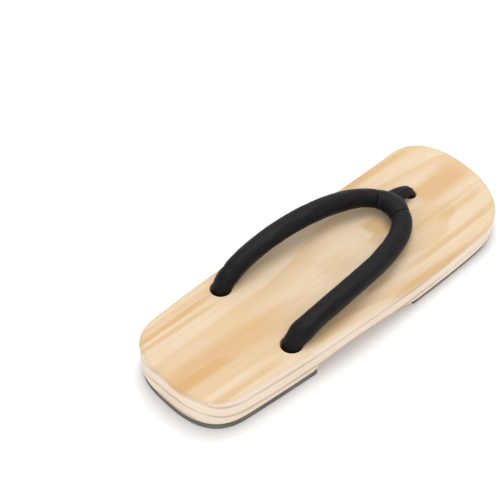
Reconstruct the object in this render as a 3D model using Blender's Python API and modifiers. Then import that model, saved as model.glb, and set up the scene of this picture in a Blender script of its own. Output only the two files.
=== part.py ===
# Right-foot geta sandal: a one-piece wooden board on two rubber pads,
# a padded strap from two rear holes to a V, and a cloth thong round the V and down the front hole.
# Metres. +Y runs to the toe, +X to the wearer's right, +Z up. The floor is z = 0.

import math

import bmesh
import bpy
from mathutils import Vector

for old in list(bpy.data.objects):
    bpy.data.objects.remove(old, do_unlink=True)

# Board, seen from above
BOARD_LENGTH = 0.250
HEEL_WIDTH = 0.0688
WAIST_WIDTH = 0.0854
TOE_WIDTH = 0.0858
HEEL_CORNER = 0.0270
INNER_TOE_CORNER = 0.0280
OUTER_TOE_CORNER = 0.0386
TOE_SLANT = 0.12
OUTER_BOW = 0.0014

# Board, seen from the side: heights of its top over the floor
HEEL_HEIGHT = 0.0229
BALL_HEIGHT = 0.0165
TOE_RISE = 0.0036
TOE_SPRING = 0.0090
ARCH_DEPTH = 0.0050
TOP_EDGE = 0.0022
UNDER_EDGE = 0.0014

# Rubber pads
HEEL_PAD_THICKNESS = 0.0039
BALL_PAD_THICKNESS = 0.0029
HEEL_PAD_INSET = 0.0006
BALL_PAD_INSET = 0.0010
PAD_EDGE = 0.0005

# Holes through the board, with a recess underneath for each knot
REAR_HOLE = 0.0124
FRONT_HOLE = 0.0084
HOLE_FLARE = 0.0005
REAR_HOLE_MARGIN = 0.0116615
REAR_HOLE_OFFSET = 0.0006
FRONT_HOLE_OFFSET = 0.0100
REAR_RECESS = 0.0158
FRONT_RECESS = 0.0150
RECESS_DEPTH = 0.0060

# Straps and thong
STRAP_WIDTH = 0.0124
STRAP_THICKNESS = 0.0108
STRAP_LIFT = 0.0100
STRAP_PINCH = 0.10
WRAP_WALL = 0.0012
THONG_WIDTH = 0.0072
THONG_THICKNESS = 0.0060
THONG_LEAN = 0.0015
THONG_ARCH = 0.0058
THONG_OVERHANG = 0.0028
GAP = 0.0003

# Where features stand along the board, as shares of its length from the heel
HEEL_FLAT_END = 0.200
BALL = 0.754
REAR_HOLES = 0.256
FRONT_HOLE_AT = 0.8205
HEEL_PAD_END = 0.291
ARCH_START = 0.287
ARCH_PEAK = 0.400
ARCH_END = 0.602
BALL_PAD_START = 0.600

# Roundness of the plan corners: 2 is an ellipse, more is squarer
HEEL_POWER = 2.75
TOE_POWER = 2.33

# Each strap is one Bezier curve. Columns: share of the half spread of the rear holes,
# share of the run from rear to front hole, share of STRAP_LIFT over lying on the board
INNER_STRAP = (
    (-1.000, 0.004, -0.80),
    (-1.010, 0.016, 1.10),
    (-1.464, 0.673, 0.68),
    (-0.600, 0.828, 0.14),
)
OUTER_STRAP = (
    (1.000, 0.004, -0.80),
    (0.990, 0.008, 0.95),
    (1.018, 0.722, -0.12),
    (0.105, 0.822, 0.14),
)
BEND_REACH = 0.47
WRAP_SWELL = 0.20
THONG_START = -0.20
THONG_HANDLE = 0.70
THONG_SWELL = 0.70
THONG_TAPER = 1.25

# Mesh detail
STRAP_STEPS = 20
STRAP_CROWDING = 1.75
PINCH_RINGS = 9.0
BEND_STEPS = 12
STRAP_SIDES = 20
ROUND_SIDES = 32


def smooth(share):
    share = min(1.0, max(0.0, share))
    return share * share * (3.0 - 2.0 * share)


def along(share):
    return (share - 0.5) * BOARD_LENGTH


def share_at(y):
    return y / BOARD_LENGTH + 0.5


def corner(gap, length, power):
    # Share of the full half width at a distance from an end with rounded corners.
    near = max(0.0, 1.0 - max(0.0, gap) / length)
    return max(0.0, 1.0 - near ** power) ** (1.0 / power)


def half_width(y, side):
    # A parabola through the heel, waist and toe widths, closed by the corners of both ends.
    share = share_at(y)
    heel = HEEL_WIDTH * (1.0 - share) * (1.0 - 2.0 * share)
    waist = WAIST_WIDTH * 4.0 * share * (1.0 - share)
    toe = TOE_WIDTH * share * (2.0 * share - 1.0)
    toe_corner = INNER_TOE_CORNER if side < 0 else OUTER_TOE_CORNER
    closing = corner(y - along(0.0), HEEL_CORNER, HEEL_POWER)
    closing *= corner(along(1.0) - y, toe_corner, TOE_POWER)
    return (heel + waist + toe) / 2.0 * closing


def plan(x, y):
    # Bows the middle outwards and slants the toe, which is longer on the big-toe side.
    share = share_at(y)
    toeward = max(0.0, 2.0 * share - 1.0)
    return Vector((x + OUTER_BOW * 4.0 * share * (1.0 - share), y - TOE_SLANT * x * toeward ** 2, 0.0))


def board_top(y):
    share = share_at(y)
    drop = smooth((share - HEEL_FLAT_END) / (BALL - HEEL_FLAT_END))
    rise = max(0.0, (share - BALL) / (1.0 - BALL))
    return HEEL_HEIGHT + (BALL_HEIGHT - HEEL_HEIGHT) * drop + TOE_RISE * rise ** 2


def ground(y):
    # Lowest face of the sandal: on the floor up to the ball, then the toe spring.
    rise = max(0.0, (share_at(y) - BALL) / (1.0 - BALL))
    return TOE_SPRING * rise ** 2


def board_under(y):
    # Heel seat, a quarter ellipse up into the arch, a parabola down to the forefoot.
    share = share_at(y)
    heel_seat = HEEL_PAD_THICKNESS + GAP
    ball_seat = BALL_PAD_THICKNESS + GAP
    peak = heel_seat + ARCH_DEPTH
    if share <= ARCH_START:
        return heel_seat
    if share <= ARCH_PEAK:
        reach = (ARCH_PEAK - share) / (ARCH_PEAK - ARCH_START)
        return heel_seat + ARCH_DEPTH * math.sqrt(max(0.0, 1.0 - reach ** 2))
    if share <= ARCH_END:
        reach = (share - ARCH_PEAK) / (ARCH_END - ARCH_PEAK)
        return peak + (ball_seat - peak) * reach ** 2
    return ball_seat + ground(y)


def stations(start, end, first_corner, last_corner, steps, extra=()):
    # Places along the foot, close together round the corners at both ends.
    places = [start, end, *extra]
    for step in range(1, 9):
        turn = 1.0 - math.cos(math.pi / 2.0 * step / 8)
        places += [start + first_corner * turn, end - last_corner * turn]
    inner, outer = start + first_corner, end - last_corner
    places += [inner + (outer - inner) * step / steps for step in range(1, steps)]
    kept = [start]
    for place in sorted(places):
        if place - kept[-1] > 0.00045 and (end - place > 0.00045 or place == end):
            kept.append(place)
    return kept


def heading(before, spot, after):
    # Direction of a curve at a point: of the two runs that meet there, the shorter counts for more.
    first = spot - before
    second = after - spot
    return (first.normalized() * second.length + second.normalized() * first.length).normalized()


def rim(places, half, inset, height):
    # One closed loop: up the inner side, round the toe end and back down the outer side.
    flat = [plan(-half(y, -1), y) for y in places[:-1]]
    flat += [plan(half(y, 1), y) for y in reversed(places[1:])]
    loop = []
    for index, spot in enumerate(flat):
        run = heading(flat[index - 1], spot, flat[(index + 1) % len(flat)])
        inward = Vector((run.y, -run.x, 0.0)).normalized()
        moved = spot + inward * inset - SHIFT
        loop.append(Vector((moved.x, moved.y, height(moved.y))))
    return loop


def spine(loop, height):
    # The same loop folded onto the middle line, point by point with its partner across the board.
    folded = []
    for index, spot in enumerate(loop):
        middle = (spot + loop[-index % len(loop)]) / 2.0
        folded.append(Vector((middle.x, middle.y, height(middle.y))))
    return folded


def halfway(first, second):
    return [(a + b) / 2.0 for a, b in zip(first, second)]


def plan_centre():
    # Middle of the slanted, bowed outline, which becomes the part's origin.
    places = stations(along(0.0), along(1.0), HEEL_CORNER, OUTER_TOE_CORNER, 40)
    spots = [plan(side * half_width(y, side), y) for y in places for side in (-1, 1)]
    xs = [spot.x for spot in spots]
    ys = [spot.y for spot in spots]
    return Vector(((min(xs) + max(xs)) / 2.0, (min(ys) + max(ys)) / 2.0, 0.0))


SHIFT = plan_centre()


def collection(name):
    group = bpy.data.collections.get(name) or bpy.data.collections.new(name)
    if name not in bpy.context.scene.collection.children:
        bpy.context.scene.collection.children.link(group)
    return group


def material(name, colour, roughness):
    paint = bpy.data.materials.new(name)
    paint.use_nodes = True
    shader = paint.node_tree.nodes["Principled BSDF"]
    shader.inputs["Base Color"].default_value = (*colour, 1.0)
    shader.inputs["Roughness"].default_value = roughness
    shader.inputs["Metallic"].default_value = 0.0
    return paint


def loft(name, loops, paint=None, capped=False):
    # Joins closed loops of equal count; capped ends are flat faces, else the ends meet on a line.
    mesh = bmesh.new()
    rings = [[mesh.verts.new(spot) for spot in loop] for loop in loops]
    count = len(rings[0])
    for lower, upper in zip(rings, rings[1:]):
        for index in range(count):
            after = (index + 1) % count
            mesh.faces.new((lower[index], lower[after], upper[after], upper[index]))
    if capped:
        mesh.faces.new(rings[0])
        mesh.faces.new(rings[-1])
    bmesh.ops.remove_doubles(mesh, verts=mesh.verts, dist=0.00001)
    bmesh.ops.dissolve_degenerate(mesh, edges=mesh.edges, dist=0.00001)
    bmesh.ops.recalc_face_normals(mesh, faces=mesh.faces)
    data = bpy.data.meshes.new(name)
    mesh.to_mesh(data)
    mesh.free()
    data.shade_smooth()
    data.set_sharp_from_angle(angle=math.radians(38.0))
    piece = bpy.data.objects.new(name, data)
    if paint:
        data.materials.append(paint)
        collection("geta_sandal").objects.link(piece)
    else:
        hide_cutter(piece)
    return piece


def hide_cutter(piece):
    collection("cutters").objects.link(piece)
    piece.hide_render = True
    piece.display_type = "WIRE"


def combine(piece, other, operation):
    change = piece.modifiers.new(operation.lower(), "BOOLEAN")
    change.operation = operation
    change.solver = "EXACT"
    change.object = other


def turned(name, profile, x, y):
    # Spins a (radius, height) profile, listed from top to bottom, about a vertical axis.
    data = bpy.data.meshes.new(name)
    spots = [(radius, 0.0, height) for radius, height in profile]
    data.from_pydata(spots, [(i, i + 1) for i in range(len(spots) - 1)], [])
    piece = bpy.data.objects.new(name, data)
    piece.location = (x, y, 0.0)
    spin = piece.modifiers.new("spin", "SCREW")
    spin.steps = ROUND_SIDES
    spin.render_steps = ROUND_SIDES
    spin.use_merge_vertices = True
    spin.merge_threshold = 0.00001
    hide_cutter(piece)
    return piece


def hole_cutter(name, x, y, bore, recess):
    # Knot recess, bore and a rounded mouth at the top.
    top = board_top(y)
    ceiling = board_under(y) + RECESS_DEPTH
    mouth = bore + HOLE_FLARE
    profile = [(0.0, top + mouth), (mouth, top + mouth), (mouth, top)]
    for step in range(1, 5):
        turn = math.pi / 2.0 * step / 4
        profile.append((mouth - HOLE_FLARE * math.sin(turn), top - HOLE_FLARE * (1.0 - math.cos(turn))))
    profile += [(bore, ceiling), (recess, ceiling), (recess, -recess), (0.0, -recess)]
    return turned(name, profile, x, y)


REAR_Y = along(REAR_HOLES)
FRONT_Y = along(FRONT_HOLE_AT)
REAR_X = REAR_HOLE_OFFSET
FRONT_X = -FRONT_HOLE_OFFSET
# The rear holes keep their margin from the board's edges to their middles
HOLE_SPREAD = 2.0 * (half_width(REAR_Y, 1) - REAR_HOLE_MARGIN)
REAR_SPOTS = ((REAR_X - HOLE_SPREAD / 2.0, REAR_Y), (REAR_X + HOLE_SPREAD / 2.0, REAR_Y))


WOOD = material("wood", (0.80, 0.62, 0.40), 0.55)
RUBBER = material("rubber", (0.07, 0.065, 0.055), 0.8)
CLOTH = material("cloth", (0.014, 0.014, 0.015), 0.75)


def make_board():
    extra = [along(ARCH_PEAK - (ARCH_PEAK - ARCH_START) * math.cos(math.pi / 12.0 * step)) for step in range(7)]
    places = stations(along(0.0), along(1.0), HEEL_CORNER, INNER_TOE_CORNER, 26, extra)
    under_rims = []
    top_rims = []
    for step in range(4):
        turn = math.pi / 2.0 * step / 3
        inset = UNDER_EDGE * (1.0 - math.sin(turn))
        lift = UNDER_EDGE * (1.0 - math.cos(turn))
        under_rims.append(rim(places, half_width, inset, lambda y, lift=lift: board_under(y) + lift))
    for step in range(5):
        turn = math.pi / 2.0 * step / 4
        inset = TOP_EDGE * (1.0 - math.cos(turn))
        drop = TOP_EDGE * (1.0 - math.sin(turn))
        top_rims.append(rim(places, half_width, inset, lambda y, drop=drop: board_top(y) - drop))
    under_spine = spine(under_rims[0], board_under)
    top_spine = spine(top_rims[-1], board_top)
    loops = [under_spine, halfway(under_spine, under_rims[0]), *under_rims]
    loops += [*top_rims, halfway(top_rims[-1], top_spine), top_spine]
    board = loft("board", loops, WOOD)
    for index, (x, y) in enumerate(REAR_SPOTS):
        name = ("inner_rear_bore", "outer_rear_bore")[index]
        combine(board, hole_cutter(name, x, y, REAR_HOLE / 2.0, REAR_RECESS / 2.0), "DIFFERENCE")
    front = hole_cutter("front_bore", FRONT_X, FRONT_Y, FRONT_HOLE / 2.0, FRONT_RECESS / 2.0)
    combine(board, front, "DIFFERENCE")


def make_pad(name, start, end, inset, thickness):
    # A slab under the whole board, cut off straight across before its start and after its end.
    def level(height):
        return lambda y: ground(y) + height

    places = stations(along(0.0), along(1.0), HEEL_CORNER, INNER_TOE_CORNER, 20)
    loops = []
    for lift, tuck in ((0.0, PAD_EDGE), (PAD_EDGE, 0.0), (thickness - PAD_EDGE, 0.0), (thickness, PAD_EDGE)):
        loops.append(rim(places, half_width, inset + tuck, level(lift)))
    loops = [spine(loops[0], level(0.0)), *loops, spine(loops[-1], level(thickness))]
    pad = loft(name, loops, RUBBER)
    corners = [(x, y) for x, y in ((-1, start), (1, start), (1, end), (-1, end))]
    span = [[Vector((x * TOE_WIDTH, y, z * TOE_WIDTH)) for x, y in corners] for z in (-1, 1)]
    combine(pad, loft(name + "_span", span, capped=True), "INTERSECT")
    return pad


def notch_cutter(name, x, y):
    # A U-shaped opening round a rear recess, open towards the arch.
    radius = REAR_RECESS / 2.0
    turns = [math.pi * (1.0 + 2.0 * step / ROUND_SIDES) for step in range(ROUND_SIDES // 2 + 1)]
    loop = [(x + radius * math.cos(turn), y + radius * math.sin(turn)) for turn in turns]
    loop += [(x + radius, y + 2.0 * radius), (x - radius, y + 2.0 * radius)]
    return loft(name, [[Vector((*spot, z)) for spot in loop] for z in (-radius, radius)], capped=True)


def make_pads():
    heel = make_pad("heel_pad", -BOARD_LENGTH, along(HEEL_PAD_END), HEEL_PAD_INSET, HEEL_PAD_THICKNESS)
    ball = make_pad("ball_pad", along(BALL_PAD_START), BOARD_LENGTH, BALL_PAD_INSET, BALL_PAD_THICKNESS)
    for index, (x, y) in enumerate(REAR_SPOTS):
        combine(heel, notch_cutter(("inner_notch", "outer_notch")[index], x, y), "DIFFERENCE")
    port = FRONT_RECESS / 2.0
    profile = [(0.0, port), (port, port), (port, -port), (0.0, -port)]
    combine(ball, turned("thong_port", profile, FRONT_X, FRONT_Y), "DIFFERENCE")


def bezier(points, share):
    a, b, c, d = points
    rest = 1.0 - share
    return a * rest ** 3 + b * 3 * share * rest ** 2 + c * 3 * share ** 2 * rest + d * share ** 3


def strap_points(rows):
    # Turns a strap's rows of shares into points in space.
    points = []
    for side, run, lift in rows:
        x = REAR_X + side * HOLE_SPREAD / 2.0
        y = REAR_Y + run * (FRONT_Y - REAR_Y)
        resting = board_top(y) + STRAP_THICKNESS / 2.0 + 2.0 * GAP
        points.append(Vector((x, y, resting + lift * STRAP_LIFT)))
    return points


def oval(centre, side, up, width, thickness):
    loop = []
    for index in range(STRAP_SIDES):
        turn = 2.0 * math.pi * index / STRAP_SIDES
        loop.append(centre + side * (width / 2.0 * math.cos(turn)) + up * (thickness / 2.0 * math.sin(turn)))
    return loop


def rested(loop, clearance):
    # Lifts whatever would sink into the board or into the rounded mouth of a rear hole.
    mouth = REAR_HOLE / 2.0 + HOLE_FLARE
    round_off = HOLE_FLARE + clearance + GAP
    lifted = []
    for spot in loop:
        floor = board_top(spot.y) + clearance
        for x, y in REAR_SPOTS:
            inside = mouth - math.hypot(spot.x - x, spot.y - y)
            if inside >= round_off:
                floor = 0.0
            elif inside > 0.0:
                floor = board_top(spot.y) - HOLE_FLARE + math.sqrt(round_off ** 2 - inside ** 2)
            else:
                floor += GAP * max(0.0, 1.0 + inside / mouth)
        lifted.append(Vector((spot.x, spot.y, max(spot.z, floor))))
    return lifted


def directions(path):
    tangents = [heading(*spots) for spots in zip(path, path[1:], path[2:])]
    first = (path[1] - path[0]).normalized()
    last = (path[-1] - path[-2]).normalized()
    return [first, *tangents, last]


def carried_sides(path, start):
    # Carries the sideways direction along the path in both ways without twisting it.
    tangents = directions(path)
    sides = [None] * len(path)
    sides[start] = tangents[start].cross(Vector((0.0, 0.0, 1.0))).normalized()
    for index in range(start + 1, len(path)):
        before = sides[index - 1]
        sides[index] = (before - tangents[index] * before.dot(tangents[index])).normalized()
    for index in range(start - 1, -1, -1):
        before = sides[index + 1]
        sides[index] = (before - tangents[index] * before.dot(tangents[index])).normalized()
    return tangents, sides


def strap_route():
    # Inner strap from its hole to the V, the bend of the V, and the outer strap back.
    inner = strap_points(INNER_STRAP)
    outer = strap_points(OUTER_STRAP)
    reach = (outer[3] - inner[3]).length * BEND_REACH
    ahead_in = (inner[3] - inner[2]).normalized()
    ahead_out = (outer[3] - outer[2]).normalized()
    bend = (inner[3], inner[3] + ahead_in * reach, outer[3] + ahead_out * reach, outer[3])
    shares = [(step / STRAP_STEPS) ** STRAP_CROWDING for step in range(STRAP_STEPS)]
    route = [bezier(inner, share) for share in shares]
    route += [inner[3] - ahead_in * (2.0 * GAP + WRAP_WALL), inner[3] - ahead_in * 2.0 * GAP]
    route += [bezier(bend, step / BEND_STEPS) for step in range(BEND_STEPS + 1)]
    route += [outer[3] - ahead_out * 2.0 * GAP, outer[3] - ahead_out * (2.0 * GAP + WRAP_WALL)]
    route += [bezier(outer, share) for share in reversed(shares)]
    return route


WRAP_START = STRAP_STEPS + 2
WRAP_MIDDLE = WRAP_START + BEND_STEPS // 2
WRAP_END = WRAP_START + BEND_STEPS


def knot(x, y, side, tangent, bore, recess):
    # Level loops down a bore, then a round knot that fills the recess underneath.
    side = Vector((side.x, side.y, 0.0)).normalized()
    up = side.cross(Vector((0.0, 0.0, math.copysign(1.0, tangent.z))))
    ceiling = board_under(y) + RECESS_DEPTH
    low = board_under(y) + GAP
    neck = bore - 2.0 * GAP
    knob = recess - 2.0 * GAP
    rows = (
        (neck, ceiling - GAP),
        (knob * 0.9, ceiling - 2.0 * GAP),
        (knob, (ceiling + low) / 2.0),
        (knob * 0.8, low + GAP),
        (knob * 0.4, low),
    )
    return [oval(Vector((x, y, height)), side, up, size, size) for size, height in rows]


def make_strap():
    route = strap_route()
    tangents, sides = carried_sides(route, WRAP_MIDDLE)
    ups = [side.cross(tangent) for side, tangent in zip(sides, tangents)]
    loops = []
    channel = []
    sleeve = []
    for index, centre in enumerate(route):
        inside_wrap = WRAP_START - 1 <= index <= WRAP_END + 1
        entering = 1.0 - smooth(min(index, len(route) - 1 - index) / PINCH_RINGS)
        width = STRAP_WIDTH + (REAR_HOLE - 4.0 * GAP - STRAP_WIDTH) * entering
        thickness = STRAP_THICKNESS * (1.0 - STRAP_PINCH * entering)
        squeeze = 2.0 * (WRAP_WALL + GAP) if inside_wrap else 0.0
        loop = oval(centre, sides[index], ups[index], width - squeeze, thickness - squeeze)
        loops.append(rested(loop, squeeze / 2.0 + 2.0 * GAP))
        if WRAP_START <= index <= WRAP_END:
            swell = 1.0 + WRAP_SWELL * math.sin(math.pi * (index - WRAP_START) / BEND_STEPS)
            outside = oval(centre, sides[index], ups[index], width * swell, thickness)
            sleeve.append(rested(outside, 2.0 * GAP))
        if inside_wrap:
            play = 2.0 * WRAP_WALL
            inside = oval(centre, sides[index], ups[index], width - play, thickness - play)
            channel.append(rested(inside, WRAP_WALL + 2.0 * GAP))
    (inner_x, inner_y), (outer_x, outer_y) = REAR_SPOTS
    inner_end = knot(inner_x, inner_y, sides[0], tangents[0], REAR_HOLE, REAR_RECESS)
    outer_end = knot(outer_x, outer_y, sides[-1], tangents[-1], REAR_HOLE, REAR_RECESS)
    loft("strap", inner_end[::-1] + loops + outer_end, CLOTH, capped=True)
    make_thong(sleeve, channel, route[WRAP_MIDDLE])


def make_thong(sleeve, channel, apex):
    # A sleeve round the V, with a leg that arches over and runs down the front hole to its knot.
    top = board_top(FRONT_Y)
    low = apex.z + STRAP_THICKNESS * THONG_START
    y = FRONT_Y + (FRONT_HOLE - THONG_THICKNESS) / 2.0 - 2.0 * GAP
    arch = (
        Vector((FRONT_X - THONG_LEAN, apex.y, low)),
        Vector((FRONT_X - THONG_LEAN, apex.y + (y - apex.y) * THONG_HANDLE, low)),
        Vector((FRONT_X, y + THONG_OVERHANG, top + THONG_ARCH)),
        Vector((FRONT_X, FRONT_Y, top - THONG_THICKNESS)),
    )
    path = [bezier(arch, step / BEND_STEPS) for step in range(BEND_STEPS + 1)]
    tangents, sides = carried_sides(path, 0)
    loops = []
    for index, centre in enumerate(path):
        swell = THONG_SWELL * (1.0 - smooth(THONG_TAPER * index / BEND_STEPS))
        width = THONG_WIDTH * (1.0 + swell)
        thickness = THONG_THICKNESS * (1.0 + swell / 3.0)
        loops.append(oval(centre, sides[index], sides[index].cross(tangents[index]), width, thickness))
    loops += knot(FRONT_X, FRONT_Y, sides[-1], tangents[-1], FRONT_HOLE, FRONT_RECESS)
    thong = loft("toe_thong", sleeve, CLOTH, capped=True)
    combine(thong, loft("thong_leg", loops, capped=True), "UNION")
    combine(thong, loft("strap_channel", channel, capped=True), "DIFFERENCE")


make_board()
make_pads()
make_strap()
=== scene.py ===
# Right-foot geta sandal: fine wood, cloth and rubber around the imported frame.
# Metres. +Y runs to the toe, +X to the wearer's right, +Z up. The floor is z = 0.

import math

import bmesh
import bpy
from mathutils import Matrix, Vector
from mathutils.noise import noise as noiseAt


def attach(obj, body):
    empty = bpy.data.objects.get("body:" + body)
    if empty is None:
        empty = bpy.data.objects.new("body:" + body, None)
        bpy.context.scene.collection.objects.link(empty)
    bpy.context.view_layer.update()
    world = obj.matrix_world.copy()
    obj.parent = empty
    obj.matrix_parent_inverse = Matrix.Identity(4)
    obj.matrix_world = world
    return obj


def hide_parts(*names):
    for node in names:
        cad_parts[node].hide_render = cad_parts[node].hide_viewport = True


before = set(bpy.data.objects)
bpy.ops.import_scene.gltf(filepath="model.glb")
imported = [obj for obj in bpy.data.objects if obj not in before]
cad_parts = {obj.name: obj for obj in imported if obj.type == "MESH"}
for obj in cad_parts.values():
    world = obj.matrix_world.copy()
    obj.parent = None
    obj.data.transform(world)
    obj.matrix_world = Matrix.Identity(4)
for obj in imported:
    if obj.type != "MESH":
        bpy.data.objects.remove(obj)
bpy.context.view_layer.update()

pieceGap = 0.0003

# Camera, fixed to the photo's view of the shoe

cameraSetup = {
    "location": (0.2828, -0.32554, 0.46014),
    "direction": (-0.51889, 0.48030, -0.70715),
    "upward": (-0.51038, 0.48955, 0.70701),
    "lens": 77.015,
}


def addCamera():
    forward = Vector(cameraSetup["direction"]).normalized()
    right = forward.cross(Vector(cameraSetup["upward"])).normalized()
    data = bpy.data.cameras.new("camera")
    data.lens = cameraSetup["lens"]
    data.clip_start = 0.01
    data.clip_end = 20.0
    camera = bpy.data.objects.new("camera", data)
    camera.location = cameraSetup["location"]
    camera.rotation_euler = Matrix((right, right.cross(forward), -forward)).transposed().to_euler()
    bpy.context.scene.collection.objects.link(camera)
    bpy.context.scene.camera = camera


addCamera()
print("camera placed")

# Floor and light

studio = {
    "floorSize": 6.0,
    "floorColor": (0.93, 0.93, 0.93),
    "worldColor": (1.0, 1.0, 1.0),
    "worldStrength": 0.90,
    "viewTransform": "Standard",
}

# Each lamp: name, place, point it faces, size, power
lamps = (
    ("overhead", (-0.25, 0.35, 1.10), (0.0, 0.0, 0.0), 0.8, 5.5),
    ("front", (0.75, -0.70, 0.80), (0.0, 0.0, 0.0), 0.7, 2.5),
)


def addStudio():
    mesh = bmesh.new()
    bmesh.ops.create_grid(mesh, x_segments=1, y_segments=1, size=studio["floorSize"] / 2)
    floor = finished("floor", mesh)
    paint = newMaterial("floorPaint", studio["floorColor"], 0.9)
    floor.data.materials.append(paint)
    world = bpy.data.worlds.new("studio")
    world.use_nodes = True
    background = world.node_tree.nodes["Background"]
    background.inputs["Color"].default_value = (*studio["worldColor"], 1.0)
    background.inputs["Strength"].default_value = studio["worldStrength"]
    bpy.context.scene.world = world
    bpy.context.scene.view_settings.view_transform = studio["viewTransform"]
    for name, place, target, size, power in lamps:
        data = bpy.data.lights.new(name, "AREA")
        data.shape = "DISK"
        data.size = size
        data.energy = power
        lamp = bpy.data.objects.new(name, data)
        lamp.location = place
        lamp.rotation_euler = (Vector(target) - Vector(place)).to_track_quat("-Z", "Y").to_euler()
        bpy.context.scene.collection.objects.link(lamp)


# Helpers for meshes


def finished(name, mesh, creaseAngle=40.0):
    # Turns a bmesh into a smooth object at the origin.
    bmesh.ops.recalc_face_normals(mesh, faces=mesh.faces)
    data = bpy.data.meshes.new(name)
    mesh.to_mesh(data)
    mesh.free()
    data.shade_smooth()
    data.set_sharp_from_angle(angle=math.radians(creaseAngle))
    piece = bpy.data.objects.new(name, data)
    bpy.context.scene.collection.objects.link(piece)
    return piece


def wrapped(loops, capped=False):
    # Wraps a grid round a stack of closed loops; points that meet at the ends are merged.
    around = len(loops[0])
    mesh = bmesh.new()
    mesh.loops.layers.uv.new("wrap")
    bmesh.ops.create_grid(mesh, x_segments=around, y_segments=len(loops) - 1, size=1.0, calc_uvs=True)
    mesh.verts.ensure_lookup_table()
    for row, loop in enumerate(loops):
        for column in range(around + 1):
            mesh.verts[row * (around + 1) + column].co = loop[column % around]
    bmesh.ops.remove_doubles(mesh, verts=mesh.verts, dist=0.000002)
    bmesh.ops.dissolve_degenerate(mesh, edges=mesh.edges, dist=0.000002)
    if capped:
        rims = [edge for edge in mesh.edges if edge.is_boundary]
        bmesh.ops.holes_fill(mesh, edges=rims, sides=0)
    return mesh


def applied(piece):
    # Bakes the modifiers into the mesh.
    bpy.context.view_layer.update()
    evaluated = piece.evaluated_get(bpy.context.evaluated_depsgraph_get())
    baked = bpy.data.meshes.new_from_object(evaluated)
    piece.modifiers.clear()
    piece.data = baked
    return piece


def combined(piece, other, operation):
    # Boolean of two pieces; the second one is used up.
    change = piece.modifiers.new(operation.lower(), "BOOLEAN")
    change.operation = operation
    change.solver = "EXACT"
    change.object = other
    applied(piece)
    bpy.data.objects.remove(other)
    return piece


def softShaded(piece, creaseAngle=40.0):
    # Even shading across the slivers that a Boolean leaves on flat faces.
    piece.data.shade_smooth()
    piece.data.set_sharp_from_angle(angle=math.radians(creaseAngle))
    even = piece.modifiers.new("evenShading", "WEIGHTED_NORMAL")
    even.keep_sharp = True


# Helpers for materials


def connect(tree, value, socket):
    if isinstance(value, bpy.types.NodeSocket):
        tree.links.new(value, socket)
    else:
        socket.default_value = value


def calculate(tree, operation, *values):
    made = tree.nodes.new("ShaderNodeMath")
    made.operation = operation
    for value, socket in zip(values, made.inputs):
        connect(tree, value, socket)
    return made.outputs[0]


def remap(tree, value, fromLow, fromHigh, toLow, toHigh):
    made = tree.nodes.new("ShaderNodeMapRange")
    made.interpolation_type = "SMOOTHSTEP"
    for place, amount in zip(("Value", "From Min", "From Max", "To Min", "To Max"), (value, fromLow, fromHigh, toLow, toHigh)):
        connect(tree, amount, made.inputs[place])
    return made.outputs[0]


def mixed(tree, share, first, second, style="MIX"):
    made = tree.nodes.new("ShaderNodeMix")
    made.data_type = "RGBA"
    made.blend_type = style
    connect(tree, share, made.inputs[0])
    connect(tree, first if isinstance(first, bpy.types.NodeSocket) else (*first, 1.0), made.inputs[6])
    connect(tree, second if isinstance(second, bpy.types.NodeSocket) else (*second, 1.0), made.inputs[7])
    return made.outputs[2]


def stretched(tree, spot, scale, offset=(0.0, 0.0, 0.0)):
    made = tree.nodes.new("ShaderNodeMapping")
    connect(tree, spot, made.inputs["Vector"])
    made.inputs["Location"].default_value = offset
    made.inputs["Scale"].default_value = scale
    return made.outputs[0]


def noise(tree, spot, scale, detail=2.0, roughness=0.5):
    made = tree.nodes.new("ShaderNodeTexNoise")
    connect(tree, spot, made.inputs["Vector"])
    made.inputs["Scale"].default_value = scale
    made.inputs["Detail"].default_value = detail
    made.inputs["Roughness"].default_value = roughness
    return made.outputs["Fac"]


def newGroup(name, inputs, outputs):
    # A node group with its sockets, and its input and output nodes.
    group = bpy.data.node_groups.new(name, "ShaderNodeTree")
    for label, kind in inputs:
        group.interface.new_socket(label, in_out="INPUT", socket_type=kind)
    for label, kind in outputs:
        group.interface.new_socket(label, in_out="OUTPUT", socket_type=kind)
    return group, group.nodes.new("NodeGroupInput").outputs, group.nodes.new("NodeGroupOutput").inputs


def useGroup(tree, group, **values):
    made = tree.nodes.new("ShaderNodeGroup")
    made.node_tree = group
    for label, value in values.items():
        connect(tree, value, made.inputs[label])
    return made.outputs


def newMaterial(name, color, roughness):
    paint = bpy.data.materials.new(name)
    paint.use_nodes = True
    shader = paint.node_tree.nodes["Principled BSDF"]
    shader.inputs["Base Color"].default_value = (*color, 1.0)
    shader.inputs["Roughness"].default_value = roughness
    return paint


def bumped(tree, height, strength, distance):
    made = tree.nodes.new("ShaderNodeBump")
    made.inputs["Strength"].default_value = strength
    made.inputs["Distance"].default_value = distance
    connect(tree, height, made.inputs["Height"])
    return made.outputs["Normal"]


addStudio()
print("floor and light placed")

# Outline and heights of the board, shared by the wood, the rubber and the straps

boardShape = {
    "length": 0.250,
    "heelWidth": 0.0688,
    "waistWidth": 0.0854,
    "toeWidth": 0.0858,
    "heelCorner": 0.0270,
    "innerToeCorner": 0.0280,
    "outerToeCorner": 0.0386,
    "heelPower": 2.75,
    "toePower": 2.33,
    "toeSlant": 0.12,
    "outerBow": 0.0014,
    "heelHeight": 0.0229,
    "ballHeight": 0.0165,
    "toeRise": 0.0036,
    "toeSpring": 0.0090,
    "archDepth": 0.0050,
    "topEdge": 0.0022,
    "underEdge": 0.0014,
    "heelFlatEnd": 0.200,
    "ball": 0.754,
    "archStart": 0.287,
    "archPeak": 0.400,
    "archEnd": 0.602,
}

padShape = {
    "heelThickness": 0.0039,
    "ballThickness": 0.0029,
    "heelInset": 0.0006,
    "ballInset": 0.0010,
    "edge": 0.0005,
    "heelEnd": 0.291,
    "ballStart": 0.600,
}

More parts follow.
